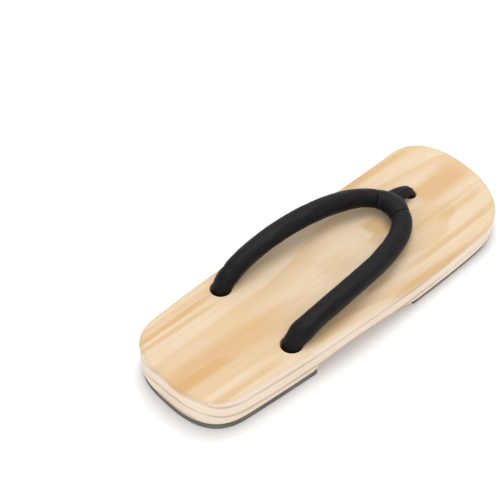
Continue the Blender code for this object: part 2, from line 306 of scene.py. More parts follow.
holeShape = {
    "rearBore": 0.0124,
    "frontBore": 0.0084,
    "flare": 0.0005,
    "spread": 0.0560,
    "rearOffset": 0.0006,
    "frontOffset": -0.0100,
    "rearAt": 0.256,
    "frontAt": 0.8205,
    "rearRecess": 0.0158,
    "frontRecess": 0.0150,
    "recessDepth": 0.0060,
}


def smooth(share):
    share = min(1.0, max(0.0, share))
    return share * share * (3.0 - 2.0 * share)


def along(share):
    return (share - 0.5) * boardShape["length"]


def shareAt(y):
    return y / boardShape["length"] + 0.5


def corner(room, length, power):
    # Share of the full half width at a distance from an end with rounded corners.
    near = max(0.0, 1.0 - max(0.0, room) / length)
    return max(0.0, 1.0 - near ** power) ** (1.0 / power)


def halfWidth(y, side):
    # A parabola through the heel, waist and toe widths, closed by the corners of both ends.
    share = shareAt(y)
    heel = boardShape["heelWidth"] * (1.0 - share) * (1.0 - 2.0 * share)
    waist = boardShape["waistWidth"] * 4.0 * share * (1.0 - share)
    toe = boardShape["toeWidth"] * share * (2.0 * share - 1.0)
    toeCorner = boardShape["innerToeCorner"] if side < 0 else boardShape["outerToeCorner"]
    closing = corner(y - along(0.0), boardShape["heelCorner"], boardShape["heelPower"])
    closing *= corner(along(1.0) - y, toeCorner, boardShape["toePower"])
    return (heel + waist + toe) / 2.0 * closing


def plan(x, y):
    # Bows the middle outwards and slants the toe, which is longer on the big-toe side.
    share = shareAt(y)
    toeward = max(0.0, 2.0 * share - 1.0)
    bow = boardShape["outerBow"] * 4.0 * share * (1.0 - share)
    return Vector((x + bow, y - boardShape["toeSlant"] * x * toeward ** 2, 0.0))


def toeShare(y):
    return max(0.0, (shareAt(y) - boardShape["ball"]) / (1.0 - boardShape["ball"]))


def boardTop(y):
    flatEnd = boardShape["heelFlatEnd"]
    drop = smooth((shareAt(y) - flatEnd) / (boardShape["ball"] - flatEnd))
    height = boardShape["heelHeight"] + (boardShape["ballHeight"] - boardShape["heelHeight"]) * drop
    return height + boardShape["toeRise"] * toeShare(y) ** 2


def ground(y):
    # Lowest face of the sandal: on the floor up to the ball, then the toe spring.
    return boardShape["toeSpring"] * toeShare(y) ** 2


def boardUnder(y):
    # Heel seat, a quarter ellipse up into the arch, a parabola down to the forefoot.
    share = shareAt(y)
    start, peak, end = boardShape["archStart"], boardShape["archPeak"], boardShape["archEnd"]
    heelSeat = padShape["heelThickness"] + pieceGap
    ballSeat = padShape["ballThickness"] + pieceGap
    if share <= start:
        return heelSeat
    if share <= peak:
        reach = (peak - share) / (peak - start)
        return heelSeat + boardShape["archDepth"] * math.sqrt(max(0.0, 1.0 - reach ** 2))
    if share <= end:
        reach = (share - peak) / (end - peak)
        high = heelSeat + boardShape["archDepth"]
        return high + (ballSeat - high) * reach ** 2
    return ballSeat + ground(y)


def stations(start, end, firstCorner, lastCorner, steps, turns=20):
    # Places along the foot, close together round the corners at both ends.
    places = []
    for step in range(turns + 1):
        turn = 1.0 - math.cos(math.pi / 2.0 * step / turns)
        places += [start + firstCorner * turn, end - lastCorner * turn]
    inner, outer = start + firstCorner, end - lastCorner
    places += [inner + (outer - inner) * step / steps for step in range(1, steps)]
    kept = [start]
    for place in sorted(places):
        if place - kept[-1] > 0.00008 and (end - place > 0.00008 or place == end):
            kept.append(place)
    return kept


def heading(before, spot, after):
    # Direction of a curve at a point: of the two runs that meet there, the shorter counts for more.
    first = spot - before
    second = after - spot
    return (first.normalized() * second.length + second.normalized() * first.length).normalized()


def rim(places, half, inset, height):
    # One closed loop: up the inner side, round the toe end and back down the outer side.
    flat = [plan(-half(y, -1), y) for y in places[:-1]]
    flat += [plan(half(y, 1), y) for y in reversed(places[1:])]
    loop = []
    for index, spot in enumerate(flat):
        run = heading(flat[index - 1], spot, flat[(index + 1) % len(flat)])
        inward = Vector((run.y, -run.x, 0.0)).normalized()
        moved = spot + inward * inset - planCentre
        loop.append(Vector((moved.x, moved.y, height(moved.y))))
    return loop


def towardSpine(loop, share, height):
    # The loop drawn in towards the middle line, each point towards its partner across the board.
    drawn = []
    for index, spot in enumerate(loop):
        middle = (spot + loop[-index % len(loop)]) / 2.0
        place = spot.lerp(middle, share)
        drawn.append(Vector((place.x, place.y, height(place.y))))
    return drawn


def findPlanCentre():
    places = stations(along(0.0), along(1.0), boardShape["heelCorner"], boardShape["outerToeCorner"], 40)
    spots = [plan(side * halfWidth(y, side), y) for y in places for side in (-1, 1)]
    xs = [spot.x for spot in spots]
    ys = [spot.y for spot in spots]
    return Vector(((min(xs) + max(xs)) / 2.0, (min(ys) + max(ys)) / 2.0, 0.0))


planCentre = findPlanCentre()
rearY = along(holeShape["rearAt"])
frontY = along(holeShape["frontAt"])
rearX = holeShape["rearOffset"]
frontX = holeShape["frontOffset"]
rearSpots = ((rearX - holeShape["spread"] / 2.0, rearY), (rearX + holeShape["spread"] / 2.0, rearY))

# Wooden board

boardDetail = {"stations": 90, "rimSteps": 8, "faceRings": 12, "holeSides": 96}


def spunProfile(name, profile, x, y, sides=96):
    # Spins a (radius, height) profile about a vertical axis into a closed cutter.
    mesh = bmesh.new()
    verts = [mesh.verts.new((radius, 0.0, height)) for radius, height in profile]
    edges = [mesh.edges.new(pair) for pair in zip(verts, verts[1:])]
    bmesh.ops.spin(mesh, geom=verts + edges, axis=(0, 0, 1), cent=(0, 0, 0), angle=2.0 * math.pi, steps=sides, use_merge=True)
    bmesh.ops.remove_doubles(mesh, verts=mesh.verts, dist=0.000002)
    bmesh.ops.translate(mesh, verts=mesh.verts, vec=(x, y, 0.0))
    return finished(name, mesh)


def holeCutter(name, x, y, bore, recess):
    # Knot recess, bore and a rounded mouth at the top.
    flare = holeShape["flare"]
    top = boardTop(y)
    ceiling = boardUnder(y) + holeShape["recessDepth"]
    mouth = bore + flare
    profile = [(0.0, top + mouth), (mouth, top + mouth), (mouth, top)]
    for step in range(1, boardDetail["rimSteps"] + 1):
        turn = math.pi / 2.0 * step / boardDetail["rimSteps"]
        profile.append((mouth - flare * math.sin(turn), top - flare * (1.0 - math.cos(turn))))
    profile += [(bore, ceiling), (recess, ceiling), (recess, -recess), (0.0, -recess)]
    return spunProfile(name, profile, x, y, boardDetail["holeSides"])


def makeBoard():
    places = stations(along(0.0), along(1.0), boardShape["heelCorner"], boardShape["innerToeCorner"], boardDetail["stations"])
    steps = boardDetail["rimSteps"]
    under, top = [], []
    for step in range(steps + 1):
        turn = math.pi / 2.0 * step / steps
        inset = boardShape["underEdge"] * (1.0 - math.sin(turn))
        lift = boardShape["underEdge"] * (1.0 - math.cos(turn))
        under.append(rim(places, halfWidth, inset, lambda y, lift=lift: boardUnder(y) + lift))
        inset = boardShape["topEdge"] * (1.0 - math.cos(turn))
        drop = boardShape["topEdge"] * (1.0 - math.sin(turn))
        top.append(rim(places, halfWidth, inset, lambda y, drop=drop: boardTop(y) - drop))
    walls = [[low.lerp(high, share / 6.0) for low, high in zip(under[-1], top[0])] for share in range(1, 6)]
    rings = boardDetail["faceRings"]
    loops = [towardSpine(under[0], 1.0 - ring / rings, boardUnder) for ring in range(rings)]
    loops += under + walls + top
    loops += [towardSpine(top[-1], ring / rings, boardTop) for ring in range(1, rings + 1)]
    board = finished("woodBoard", wrapped(loops))
    for index, (x, y) in enumerate(rearSpots):
        cutter = holeCutter(("innerRearBore", "outerRearBore")[index], x, y, holeShape["rearBore"] / 2.0, holeShape["rearRecess"] / 2.0)
        combined(board, cutter, "DIFFERENCE")
    combined(board, holeCutter("frontBore", frontX, frontY, holeShape["frontBore"] / 2.0, holeShape["frontRecess"] / 2.0), "DIFFERENCE")
    softShaded(board)
    markSides(board)
    return board


def markSides(board):
    # Writes how far each point faces sideways, so that the sides can be paler than the top, partly as the wood's own
    # paler sides and partly as painted light from the front and the floor.
    values = [smooth(1.0 - abs(point.normal.z)) for point in board.data.vertices]
    board.data.attributes.new("side", "FLOAT", "POINT").data.foreach_set("value", values)


board = makeBoard()
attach(board, "root")
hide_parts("board")
print("board built")

# Rubber pads

padDetail = {"stations": 40, "edgeSteps": 4}


def makePad(name, cut, away, inset, thickness):
    # A slab under the whole board, cut straight across; away is the side of the cut that goes.
    def level(height):
        return lambda y: ground(y) + height

    edge = padShape["edge"]
    rows = []
    for step in range(padDetail["edgeSteps"] + 1):
        turn = math.pi / 2.0 * step / padDetail["edgeSteps"]
        rows.append((edge * (1.0 - math.cos(turn)), edge * (1.0 - math.sin(turn))))
    rows += [(thickness - lift, tuck) for lift, tuck in reversed(rows)]
    places = stations(along(0.0), along(1.0), boardShape["heelCorner"], boardShape["innerToeCorner"], padDetail["stations"])
    loops = [rim(places, halfWidth, inset + tuck, level(lift)) for lift, tuck in rows]
    below = [towardSpine(loops[0], share, level(0.0)) for share in (1.0, 0.66, 0.33)]
    above = [towardSpine(loops[-1], share, level(thickness)) for share in (0.33, 0.66, 1.0)]
    mesh = wrapped(below + loops + above)
    everything = mesh.verts[:] + mesh.edges[:] + mesh.faces[:]
    bmesh.ops.bisect_plane(mesh, geom=everything, dist=0.000001, plane_co=(0.0, cut, 0.0), plane_no=(0.0, away, 0.0), clear_outer=True)
    bmesh.ops.edgeloop_fill(mesh, edges=[side for side in mesh.edges if side.is_boundary])
    return finished(name, mesh)


def notchCutter(name, x, y):
    # A U-shaped opening round a rear recess, open towards the arch.
    radius = holeShape["rearRecess"] / 2.0
    turns = [math.pi * (1.0 + step / 32.0) for step in range(33)]
    loop = [(x + radius * math.cos(turn), y + radius * math.sin(turn)) for turn in turns]
    loop += [(x + radius, y + 2.0 * radius), (x - radius, y + 2.0 * radius)]
    return finished(name, wrapped([[Vector((*spot, z)) for spot in loop] for z in (-radius, radius)], capped=True))


def makePads():
    heel = makePad("heelRubber", along(padShape["heelEnd"]), 1.0, padShape["heelInset"], padShape["heelThickness"])
    for index, (x, y) in enumerate(rearSpots):
        combined(heel, notchCutter(("innerNotch", "outerNotch")[index], x, y), "DIFFERENCE")
    ball = makePad("forefootRubber", along(padShape["ballStart"]), -1.0, padShape["ballInset"], padShape["ballThickness"])
    port = holeShape["frontRecess"] / 2.0
    combined(ball, spunProfile("thongPort", [(0.0, port), (port, port), (port, -port), (0.0, -port)], frontX, frontY), "DIFFERENCE")
    return heel, ball


heelPad, forefootPad = makePads()
for pad, node in ((heelPad, "heel_pad"), (forefootPad, "ball_pad")):
    softShaded(pad)
    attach(pad, "root")
    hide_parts(node)
print("rubber pads built")

# Padded strap

strapShape = {
    "width": 0.0124,
    "thickness": 0.0108,
    "lift": 0.0100,
    "pinch": 0.10,
    "pinchShare": 0.45,
    "wrapWall": 0.0012,
    "wrapSwell": 0.20,
    "wrapEdge": 0.00025,
    "gathers": 9,
    "gatherDepth": 0.00025,
    "bendReach": 0.47,
    "crowding": 1.75,
    "unevenness": 0.00012,
}

# How the strap narrows just before the sleeve. Columns: distance before it, share of the narrowing
shoulder = ((0.0012, 0.0), (0.0006, 0.04), (0.00045, 0.15), (0.00035, 1.0))

# Soft dents and bulges. Columns: inner -1 or outer 1 strap, distance from its hole,
# degrees round it from the inside of the V over the top, half length, half turn, depth (below 0 bulges)
creases = (
    (1, 0.0048, 15.0, 0.0016, 30.0, 0.0004),
    (1, 0.0110, 5.0, 0.0060, 60.0, -0.0007),
    (1, 0.0155, 80.0, 0.0020, 50.0, 0.0003),
    (1, 0.0120, 165.0, 0.0070, 70.0, -0.0006),
    (-1, 0.0070, 10.0, 0.0016, 40.0, 0.0005),
    (-1, 0.0120, 120.0, 0.0018, 50.0, 0.0004),
)

# Columns: share of the half spread of the rear holes, share of the run to the front hole, share of the lift
innerStrap = (
    (-1.000, 0.004, -0.80),
    (-1.010, 0.016, 1.10),
    (-1.464, 0.673, 0.68),
    (-0.600, 0.828, 0.14),
)
outerStrap = (
    (1.000, 0.004, -0.80),
    (0.990, 0.008, 0.95),
    (1.018, 0.722, -0.12),
    (0.105, 0.822, 0.14),
)

strapDetail = {"steps": 120, "bendSteps": 48, "sides": 48}


def bezier(points, share):
    a, b, c, d = points
    rest = 1.0 - share
    return a * rest ** 3 + b * 3 * share * rest ** 2 + c * 3 * share ** 2 * rest + d * share ** 3


def strapPoints(rows):
    # Turns a strap's rows of shares into points in space.
    points = []
    for side, run, lift in rows:
        x = rearX + side * holeShape["spread"] / 2.0
        y = rearY + run * (frontY - rearY)
        resting = boardTop(y) + strapShape["thickness"] / 2.0 + 2.0 * pieceGap
        points.append(Vector((x, y, resting + lift * strapShape["lift"])))
    return points


def oval(centre, side, up, width, thickness):
    loop = []
    for index in range(strapDetail["sides"]):
        turn = 2.0 * math.pi * index / strapDetail["sides"]
        loop.append(centre + side * (width / 2.0 * math.cos(turn)) + up * (thickness / 2.0 * math.sin(turn)))
    return loop


def rested(loop, clearance):
    # Lifts whatever would sink into the board or into the rounded mouth of a rear hole.
    flare = holeShape["flare"]
    mouth = holeShape["rearBore"] / 2.0 + flare
    roundOff = flare + clearance + pieceGap
    lifted = []
    for spot in loop:
        low = boardTop(spot.y) + clearance
        for x, y in rearSpots:
            inside = mouth - math.hypot(spot.x - x, spot.y - y)
            if inside >= roundOff:
                low = 0.0
            elif inside > 0.0:
                low = boardTop(spot.y) - flare + math.sqrt(roundOff ** 2 - inside ** 2)
            else:
                low += pieceGap * max(0.0, 1.0 + inside / mouth)
        lifted.append(Vector((spot.x, spot.y, max(spot.z, low))))
    return lifted


def directions(path):
    tangents = [heading(*spots) for spots in zip(path, path[1:], path[2:])]
    return [(path[1] - path[0]).normalized(), *tangents, (path[-1] - path[-2]).normalized()]


def carriedSides(path, start):
    # Carries the sideways direction along the path in both ways without twisting it.
    tangents = directions(path)
    sides = [None] * len(path)
    sides[start] = tangents[start].cross(Vector((0.0, 0.0, 1.0))).normalized()
    for index in range(start + 1, len(path)):
        before = sides[index - 1]
        sides[index] = (before - tangents[index] * before.dot(tangents[index])).normalized()
    for index in range(start - 1, -1, -1):
        before = sides[index + 1]
        sides[index] = (before - tangents[index] * before.dot(tangents[index])).normalized()
    return tangents, sides


def strapRoute():
    # Inner strap from its hole to the V, the bend of the V, and the outer strap back.
    inner, outer = strapPoints(innerStrap), strapPoints(outerStrap)
    reach = (outer[3] - inner[3]).length * strapShape["bendReach"]
    aheadIn = (inner[3] - inner[2]).normalized()
    aheadOut = (outer[3] - outer[2]).normalized()
    bend = (inner[3], inner[3] + aheadIn * reach, outer[3] + aheadOut * reach, outer[3])
    steps, bendSteps = strapDetail["steps"], strapDetail["bendSteps"]
    shares = [(step / steps) ** strapShape["crowding"] for step in range(steps)]
    shares = [share for share in shares if share < 0.985]
    entering = [1.0 - smooth(step / steps / strapShape["pinchShare"]) for step in range(len(shares))]
    before = [distance for distance, _ in shoulder]
    narrowing = [0.0] * len(shares) + [share for _, share in shoulder]
    route = [bezier(inner, share) for share in shares]
    route += [inner[3] - aheadIn * distance for distance in before]
    route += [bezier(bend, step / bendSteps) for step in range(bendSteps + 1)]
    route += [outer[3] - aheadOut * distance for distance in reversed(before)]
    route += [bezier(outer, share) for share in reversed(shares)]
    entering += [0.0] * (bendSteps + 1 + 2 * len(before)) + entering[::-1]
    return route, entering, narrowing + [1.0] * (bendSteps + 1) + narrowing[::-1], len(narrowing)


def knot(x, y, side, tangent, bore, recess):
    # Level loops down a bore, then a round knot that fills the recess underneath.
    side = Vector((side.x, side.y, 0.0)).normalized()
    up = side.cross(Vector((0.0, 0.0, math.copysign(1.0, tangent.z))))
    ceiling = boardUnder(y) + holeShape["recessDepth"]
    low = boardUnder(y) + pieceGap
    neck = bore - 2.0 * pieceGap
    knob = recess - 2.0 * pieceGap
    rows = [(neck, ceiling - pieceGap)]
    for step in range(9):
        turn = math.pi * (0.15 + 0.80 * step / 8.0)
        height = (ceiling + low) / 2.0 + (ceiling - low - 2.0 * pieceGap) / 2.0 * math.cos(turn)
        rows.append((knob * math.sin(turn) ** 0.6, height))
    return [oval(Vector((x, y, height)), side, up, size, size) for size, height in rows]


def fromHoles(route, wrapMiddle):
    # Distance along the strap from the nearer rear hole.
    inner = [0.0]
    for before, spot in zip(route, route[1:]):
        inner.append(inner[-1] + (spot - before).length)
    return [inner[-1] - run if index > wrapMiddle else run for index, run in enumerate(inner)]


def creased(loop, centre, strapSide, distance, amount):
    # Moves the cloth in and out along its own radius: the creases of the table and a slight unevenness.
    moved = []
    for index, spot in enumerate(loop):
        degrees = 360.0 * index / len(loop)
        depth = strapShape["unevenness"] * noiseAt(spot * 130.0)
        for side, place, turn, halfLength, halfTurn, dent in creases:
            apart = abs((degrees - turn + 180.0) % 360.0 - 180.0)
            if side == strapSide:
                depth += dent * math.exp(-((distance - place) / halfLength) ** 2 - (apart / halfTurn) ** 2)
        moved.append(spot - (spot - centre).normalized() * depth * amount)
    return moved


def gathered(loop, centre, share):
    # Small folds where the sleeve turns on the inside of the V.
    moved = []
    for index, spot in enumerate(loop):
        facing = max(0.0, math.cos(2.0 * math.pi * index / len(loop))) ** 2
        fold = strapShape["gatherDepth"] * math.cos(2.0 * math.pi * strapShape["gathers"] * share)
        moved.append(spot + (spot - centre).normalized() * fold * facing * math.sin(math.pi * share))
    return moved


def makeStrap():
    route, entering, narrowing, wrapStart = strapRoute()
    bendSteps = strapDetail["bendSteps"]
    wrapEnd = wrapStart + bendSteps
    wrapMiddle = (wrapStart + wrapEnd) // 2
    tangents, sides = carriedSides(route, wrapMiddle)
    ups = [side.cross(tangent) for side, tangent in zip(sides, tangents)]
    runs = fromHoles(route, wrapMiddle)
    wall = strapShape["wrapWall"]
    loops, channel, sleeve = [], [], []
    for index, centre in enumerate(route):
        width = strapShape["width"] + (holeShape["rearBore"] - 4.0 * pieceGap - strapShape["width"]) * entering[index]
        thickness = strapShape["thickness"] * (1.0 - strapShape["pinch"] * entering[index])
        squeeze = 2.0 * (wall + pieceGap) * narrowing[index]
        loop = oval(centre, sides[index], ups[index], width - squeeze, thickness - squeeze)
        strapSide = 1 if index > wrapMiddle else -1
        amount = smooth(runs[index] / 0.004) * (1.0 - narrowing[index])
        loop = creased(loop, centre, strapSide, runs[index], amount)
        loops.append(rested(loop, squeeze / 2.0 + 2.0 * pieceGap))
        if wrapStart <= index <= wrapEnd:
            share = (index - wrapStart) / bendSteps
            fromEnd = min(index - wrapStart, wrapEnd - index)
            tuck = 2.0 * strapShape["wrapEdge"] * (1.0, 0.2, 0.0)[min(2, fromEnd)]
            swell = 1.0 + strapShape["wrapSwell"] * math.sin(math.pi * share)
            outside = oval(centre, sides[index], ups[index], width * swell - tuck, thickness - tuck)
            sleeve.append(rested(gathered(outside, centre, share), tuck / 2.0 + 2.0 * pieceGap))
        if wrapStart - 1 <= index <= wrapEnd + 1:
            inside = oval(centre, sides[index], ups[index], width - 2.0 * wall, thickness - 2.0 * wall)
            channel.append(rested(inside, wall + 2.0 * pieceGap))
    innerEnd = knot(*rearSpots[0], sides[0], tangents[0], holeShape["rearBore"], holeShape["rearRecess"])
    outerEnd = knot(*rearSpots[1], sides[-1], tangents[-1], holeShape["rearBore"], holeShape["rearRecess"])
    strap = finished("clothStrap", wrapped(innerEnd[::-1] + loops + outerEnd, capped=True), 60.0)
    return strap, sleeve, channel, route[wrapMiddle]


# Stuffing: held is the radius round the V that stays still, slack the extra cloth, cap the longest move
stuffing = {
    "frames": 14,
    "pressure": 0.5,
    "slack": 0.002,
    "stiffness": 60.0,
    "bending": 2.0,
    "mass": 0.15,
    "held": 0.017,
    "cap": 0.0005,
}


def stuffed(piece, apex):
    # A short cloth simulation that fills the strap; the knots and the run inside the sleeve are held.
    points = [point.co.copy() for point in piece.data.vertices]
    held = piece.vertex_groups.new(name="held")
    still = {index for index, spot in enumerate(points) if spot.z < boardTop(spot.y) + 0.002 or (spot - apex).length < stuffing["held"]}
    held.add(sorted(still), 1.0, "REPLACE")
    change = piece.modifiers.new("stuffing", "CLOTH")
    change.collision_settings.use_collision = False
    change.point_cache.frame_start, change.point_cache.frame_end = 1, stuffing["frames"]
    settings = change.settings
    settings.quality = 6
    settings.mass = stuffing["mass"]
    settings.tension_stiffness = settings.compression_stiffness = settings.shear_stiffness = stuffing["stiffness"]
    settings.bending_stiffness = stuffing["bending"]
    settings.shrink_min = -stuffing["slack"]
    settings.use_pressure = True
    settings.uniform_pressure_force = stuffing["pressure"]
    settings.vertex_group_mass = "held"
    settings.effector_weights.gravity = 0.0
    for frameNumber in range(1, stuffing["frames"] + 1):
        bpy.context.scene.frame_set(frameNumber)
    applied(piece)
    bpy.context.scene.frame_set(1)
    lengths = []
    for point, spot in zip(piece.data.vertices, points):
        move = point.co - spot
        lengths.append(move.length)
        point.co = spot + move * min(1.0, stuffing["cap"] / max(move.length, 0.0000001))
        if spot.z > boardTop(spot.y) + pieceGap:
            point.co.z = max(point.co.z, min(spot.z, boardTop(spot.y) + 2.0 * pieceGap))
    free = sorted(length for index, length in enumerate(lengths) if index not in still)
    capped = sum(length > stuffing["cap"] for length in free) / len(free)
    middle, longest = free[len(free) // 2] * 1000.0, free[-1] * 1000.0
    print(f"cloth simulated, moves in mm: median {middle:.2f}, longest {longest:.2f}, share capped {capped:.2f}")


strap, sleeveLoops, channelLoops, apex = makeStrap()
stuffed(strap, apex)
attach(strap, "root")
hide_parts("strap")
print("strap built")

# Cloth thong round the V and down the front hole

thongShape = {
    "width": 0.0072,
    "thickness": 0.0060,
    "lean": 0.0015,
    "arch": 0.0058,
    "overhang": 0.0028,
    "start": -0.20,
    "handle": 0.70,
    "swell": 0.70,
    "taper": 1.25,
    "pleats": 9,
    "pleatDepth": 0.00030,
}


def pleated(loop, centre, amount):
    # Folds that run along the leg, pressed in only, so that it keeps clear of the hole.
    moved = []
    for index, spot in enumerate(loop):
        fold = 0.5 - 0.5 * math.cos(2.0 * math.pi * thongShape["pleats"] * index / len(loop))
        moved.append(spot - (spot - centre).normalized() * thongShape["pleatDepth"] * fold * amount)
    return moved


def makeThong(sleeveLoops, channelLoops, apex):
    # A sleeve round the V, with a leg that arches over and runs down the front hole to its knot.
    width, thickness = thongShape["width"], thongShape["thickness"]
    top = boardTop(frontY)
    low = apex.z + strapShape["thickness"] * thongShape["start"]
    y = frontY + (holeShape["frontBore"] - thickness) / 2.0 - 2.0 * pieceGap
    leaning = frontX - thongShape["lean"]
    arch = (
        Vector((leaning, apex.y, low)),
        Vector((leaning, apex.y + (y - apex.y) * thongShape["handle"], low)),
        Vector((frontX, y + thongShape["overhang"], top + thongShape["arch"])),
        Vector((frontX, frontY, top - thickness)),
    )
    steps = strapDetail["bendSteps"]
    path = [bezier(arch, step / steps) for step in range(steps + 1)]
    tangents, sides = carriedSides(path, 0)
    loops = []
    for index, centre in enumerate(path):
        swell = thongShape["swell"] * (1.0 - smooth(thongShape["taper"] * index / steps))
        loop = oval(centre, sides[index], sides[index].cross(tangents[index]), width * (1.0 + swell), thickness * (1.0 + swell / 3.0))
        loops.append(pleated(loop, centre, smooth((1.0 - index / steps) / 0.4)))
    loops += knot(frontX, frontY, sides[-1], tangents[-1], holeShape["frontBore"], holeShape["frontRecess"])
    thong = finished("toeThong", wrapped(sleeveLoops, capped=True))
    combined(thong, finished("thongLeg", wrapped(loops, capped=True)), "UNION")
    combined(thong, finished("strapChannel", wrapped(channelLoops, capped=True)), "DIFFERENCE")
    softShaded(thong, 50.0)
    return thong


toeThong = makeThong(sleeveLoops, channelLoops, apex)
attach(toeThong, "root")
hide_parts("toe_thong")
print("toe thong built")

# Pine

wood = {
    "pale": (0.68, 0.54, 0.370),
    "tan": (0.56, 0.32, 0.105),
    # side: paler colour of the board's sides, partly the wood's own and partly painted light from the front and the
    # floor
    "side": (0.80, 0.67, 0.54),
    "ringLine": (0.36, 0.23, 0.15),
    "ringSpacing": 0.0076,
    "ringCentre": (0.010, 0.0, -0.060),
    "roughness": 0.55,
}

# Broad streaks of darker wood; one is painted shade inside the V and one is partly painted shadow beside the outer
# strap. Columns: x and y where one starts, x and y where it ends, half width, strength
grainAndShadeStreaks = (
    (-0.0280, -0.125, -0.0270, -0.066, 0.0018, 0.80),
    (-0.0230, -0.125, -0.0220, -0.070, 0.0015, 0.60),
    (-0.0270, -0.055, -0.0270, -0.015, 0.0020, 0.35),
    (0.0100, -0.127, 0.0120, -0.085, 0.0045, 0.90),
    (0.0060, -0.126, 0.0100, -0.040, 0.0085, 0.60),
    (0.0300, -0.116, 0.0320, -0.070, 0.0022, 0.60),
    # Partly an orange-brown band of the grain, partly painted shadow of the outer strap along its outer edge
    (0.0350, -0.050, 0.0350, -0.010, 0.0028, 0.60),
    (0.0295, 0.000, 0.0295, 0.020, 0.0018, 0.50),
    (0.0430, 0.010, 0.0430, 0.080, 0.0020, 0.70),
    (0.0315, 0.040, 0.0315, 0.115, 0.0022, 0.60),
    (0.0175, 0.080, 0.0175, 0.115, 0.0025, 0.55),
    (0.0120, 0.060, 0.0120, 0.118, 0.0022, 0.35),
    (-0.0035, 0.084, -0.0030, 0.124, 0.0095, 0.80),
    (-0.0410, 0.055, -0.0390, 0.108, 0.0035, 0.60),
    # Painted shade on the board in the inside corner of the V, between the two straps
    (-0.0060, 0.038, -0.0060, 0.052, 0.0065, 0.75),
    (0.0020, -0.008, 0.0020, 0.014, 0.0070, 0.30),
)


def streakGroup():
    # A soft band between two ends; wandering coordinates keep it from running straight.
    labels = ("Start X", "Start Y", "End X", "End Y", "Half Width", "Strength")
    inputs = [("Spot", "NodeSocketVector")] + [(label, "NodeSocketFloat") for label in labels]
    group, given, result = newGroup("grainAndShadeStreak", inputs, [("Mask", "NodeSocketFloat")])
    split = group.nodes.new("ShaderNodeSeparateXYZ")
    group.links.new(given["Spot"], split.inputs[0])
    run = calculate(group, "SUBTRACT", given["End Y"], given["Start Y"])
    share = calculate(group, "DIVIDE", calculate(group, "SUBTRACT", split.outputs["Y"], given["Start Y"]), run)
    drift = calculate(group, "SUBTRACT", given["End X"], given["Start X"])
    middle = calculate(group, "MULTIPLY_ADD", share, drift, given["Start X"])
    away = calculate(group, "ABSOLUTE", calculate(group, "SUBTRACT", split.outputs["X"], middle))
    across = remap(group, calculate(group, "DIVIDE", away, given["Half Width"]), 0.4, 1.4, 1.0, 0.0)
    starting = remap(group, share, -0.25, 0.10, 0.0, 1.0)
    ending = remap(group, share, 0.65, 1.25, 1.0, 0.0)
    window = calculate(group, "MULTIPLY", starting, ending)
    mask = calculate(group, "MULTIPLY", calculate(group, "MULTIPLY", across, window), given["Strength"])
    group.links.new(mask, result["Mask"])
    return group


